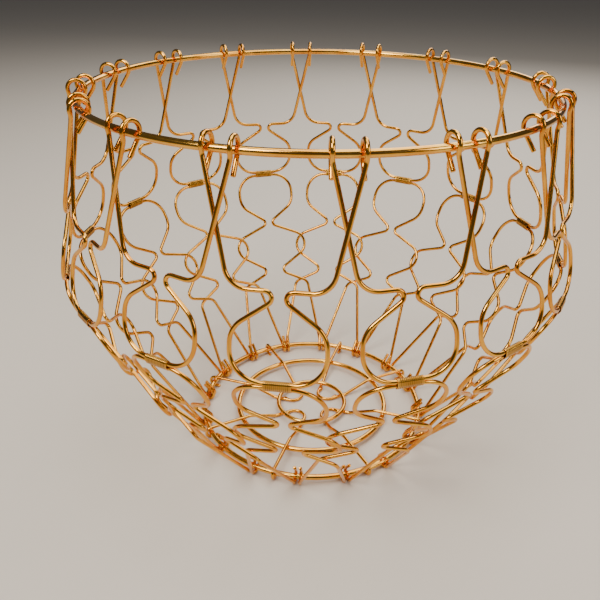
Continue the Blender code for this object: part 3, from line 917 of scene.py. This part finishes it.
class BASKET_OT_loops(bpy.types.Operator):
    """Make the upper and the lower loops"""
    bl_idname = "basket.loops"
    bl_label = "Loops"

    def execute(self, context):
        scene = context.scene
        finish = scene.basket_finish
        plating = plated_metal("bright_plated_loop_wire", finish.loop_gold, finish.loop_deep,
                               WIRE_ROUGHNESS, LOOP_MARKS_PER_MM)
        for kind, surface in (("upper", upper_surface(scene)), ("lower", lower_surface(scene))):
            for index in range(ELEMENTS):
                number = f"{index + 1:02d}"
                add_piece(f"{kind}_loop_{number}_wire", surface, plating, f"{kind}_{number}",
                          f"{kind}_loop_{number}",
                          index * PITCH, index * LOOP_SHIFT)
        return {"FINISHED"}


class BASKET_OT_ferrules(bpy.types.Operator):
    """Make the oval ferrules"""
    bl_idname = "basket.ferrules"
    bl_label = "Ferrules"

    def execute(self, context):
        scene = context.scene
        finish = scene.basket_finish
        # The sleeves' plating carries painted shade in the bottoms of their press marks
        plating = plated_metal("pressed_plated_sleeve", finish.ferrule_gold, finish.ferrule_deep,
                               SLEEVE_ROUGHNESS, SLEEVE_MARKS_PER_MM, finish.groove_shade)
        surface = ferrule_surface(scene)
        for index in range(ELEMENTS):
            number = f"{index + 1:02d}"
            add_piece(f"ferrule_{number}_sleeve", surface, plating, f"lower_{number}",
                      f"ferrule_{number}", index * PITCH, index * SLEEVE_SHIFT)
        return {"FINISHED"}


class BASKET_OT_floor_wires(bpy.types.Operator):
    """Make the floor wires"""
    bl_idname = "basket.floor_wires"
    bl_label = "Floor wires"

    def execute(self, context):
        scene = context.scene
        finish = scene.basket_finish
        plating = plated_metal("bright_plated_floor_wire", finish.loop_gold, finish.loop_deep,
                               WIRE_ROUGHNESS, LOOP_MARKS_PER_MM)
        surface = floor_surface(scene)
        count = scene.basket_floor.count
        for index in range(count):
            turn = 2.0 * math.pi * index / count + FLOOR_WIRE_START * PITCH
            add_piece(f"floor_wire_{index + 1}_wire", surface, plating, "base",
                      f"floor_wire_{index + 1}", turn, index * FLOOR_WIRE_SHIFT)
        return {"FINISHED"}


class BASKET_OT_stage(bpy.types.Operator):
    """Make the floor, the studio light and the camera"""
    bl_idname = "basket.stage"
    bl_label = "Stage"

    def execute(self, context):
        scene = context.scene
        bpy.ops.mesh.primitive_plane_add(size=FLOOR_SIZE, location=(0.0, 0.0, 0.0))
        floor = context.object
        floor.name = "floor"
        floor.data.materials.append(paper("studio_paper", scene.basket_finish.floor))
        world = bpy.data.worlds.new("studio")
        world.use_nodes = True
        background = world.node_tree.nodes["Background"]
        background.inputs["Color"].default_value = WORLD_COLOUR
        background.inputs["Strength"].default_value = WORLD_STRENGTH
        scene.world = world
        for light in LIGHTS:
            soft_box(*light)
        turn = Matrix.Rotation(CAMERA_SWING, 3, "Z")
        place = turn @ Matrix.Translation(CAMERA_PLACE).to_translation()
        aim_camera(place, CAMERA_YAW - CAMERA_SWING, CAMERA_PITCH, CAMERA_ROLL, CAMERA_LENS)
        return {"FINISHED"}


class BASKET_PT_panel(bpy.types.Panel):
    """Sizes, colours and the buttons that make the basket"""
    bl_label = "Wire basket"
    bl_space_type = "VIEW_3D"
    bl_region_type = "UI"
    bl_category = "Basket"

    def draw(self, context):
        for operator in OPERATORS:
            self.layout.operator(operator.bl_idname)
        for name, group in SETTINGS.items():
            box = self.layout.box()
            box.label(text=group.__doc__)
            for setting in group.__annotations__:
                box.prop(getattr(context.scene, name), setting)


OPERATORS = (
    BASKET_OT_stage,
    BASKET_OT_rings,
    BASKET_OT_floor_wires,
    BASKET_OT_loops,
    BASKET_OT_ferrules,
)


def register():
    """Register the settings, the operators and the panel."""
    for group in (*SETTINGS.values(), *OPERATORS, BASKET_PT_panel):
        bpy.utils.register_class(group)
    for name, group in SETTINGS.items():
        setattr(bpy.types.Scene, name, PointerProperty(type=group))


def unregister():
    """Take everything away again."""
    for name in SETTINGS:
        delattr(bpy.types.Scene, name)
    for group in (BASKET_PT_panel, *reversed(OPERATORS), *SETTINGS.values()):
        bpy.utils.unregister_class(group)


def main():
    register()
    for operator in OPERATORS:
        group, name = operator.bl_idname.split(".")
        getattr(getattr(bpy.ops, group), name)()


if __name__ == "__main__":
    main()
